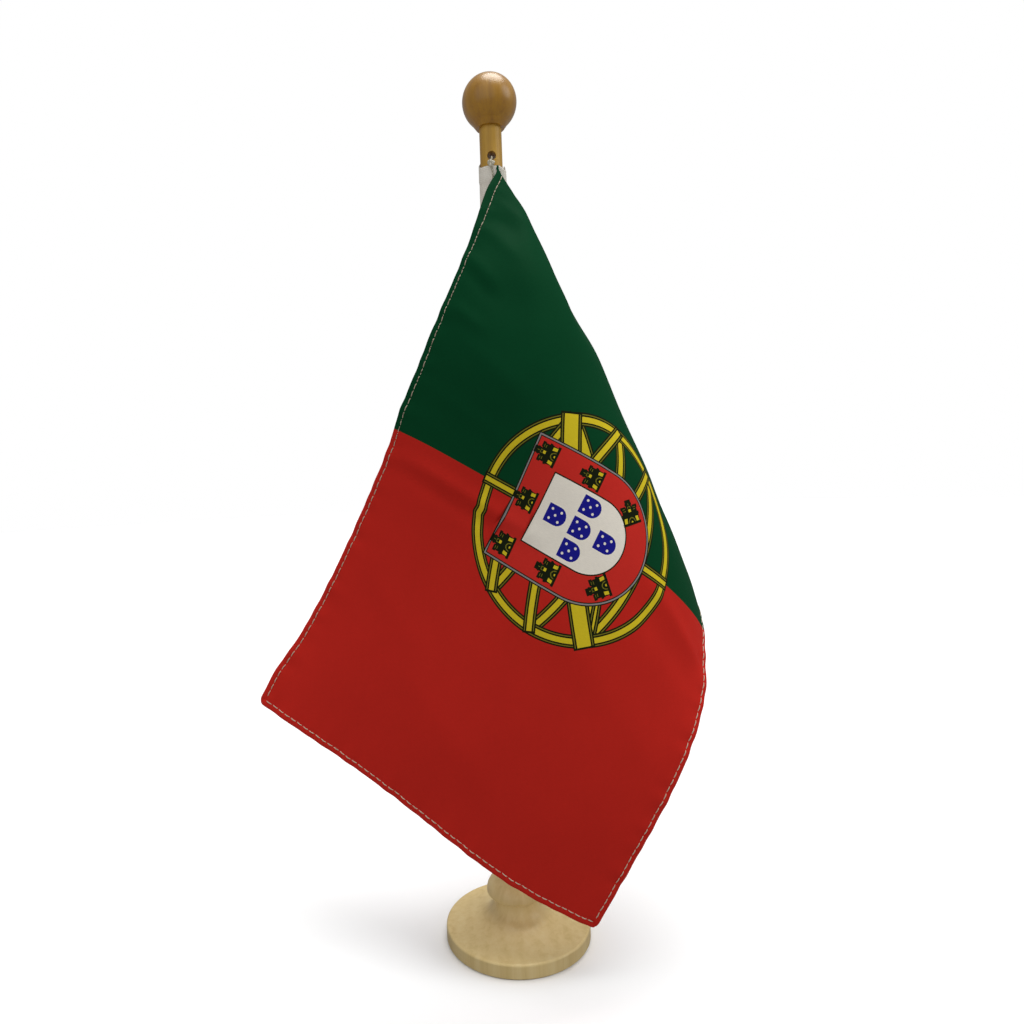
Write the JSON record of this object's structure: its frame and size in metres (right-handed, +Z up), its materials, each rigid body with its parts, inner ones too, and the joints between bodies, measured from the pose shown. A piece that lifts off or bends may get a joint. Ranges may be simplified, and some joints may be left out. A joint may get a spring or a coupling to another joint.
{
  "type": "desk flag stand",
  "caption": "Small table flag on a turned wooden stand: disc base with beaded socket, dowel pole, ball finial and a draped, hemmed cloth flag on a sewn sleeve.",
  "frame": {"origin": "centre of the base's flat underside", "axes": "+Z up along the pole, -Y towards the side from which the flag is seen, +X to the viewer's right"},
  "size_m": [0.1678, 0.068, 0.3259],
  "materials": {
    "base_wood": "satin turned hardwood, pale",
    "pole_wood": "clear lacquered dowel, amber",
    "ball_wood": "gloss lacquered turned ball, amber",
    "canvas": "undyed cotton canvas",
    "flag_fabric": "printed satin-weave polyester",
    "thread": "undyed sewing thread",
    "cord_cotton": "twisted cotton cord"
  },
  "bodies": {
    "stand": {"base": "base_wood"},
    "pole": {"pole": "pole_wood", "finial_ball": "ball_wood"},
    "flag": {"header_sleeve": "canvas", "flag_cloth": "flag_fabric", "hem_stitches": "thread", "sleeve_stitches": "thread", "tie_cord": "cord_cotton"}
  },
  "joints": [
    {"name": "pole_lift", "type": "slide", "parent": "stand", "child": "pole", "axis": [0, 0, 1], "range_m": [0, 0.024]},
    {"name": "flag_turn", "type": "hinge", "parent": "pole", "child": "flag", "pos_m": [0, 0, 0.2955], "axis": [0, 0, 1], "range_deg": [-10, 10]}
  ]
}
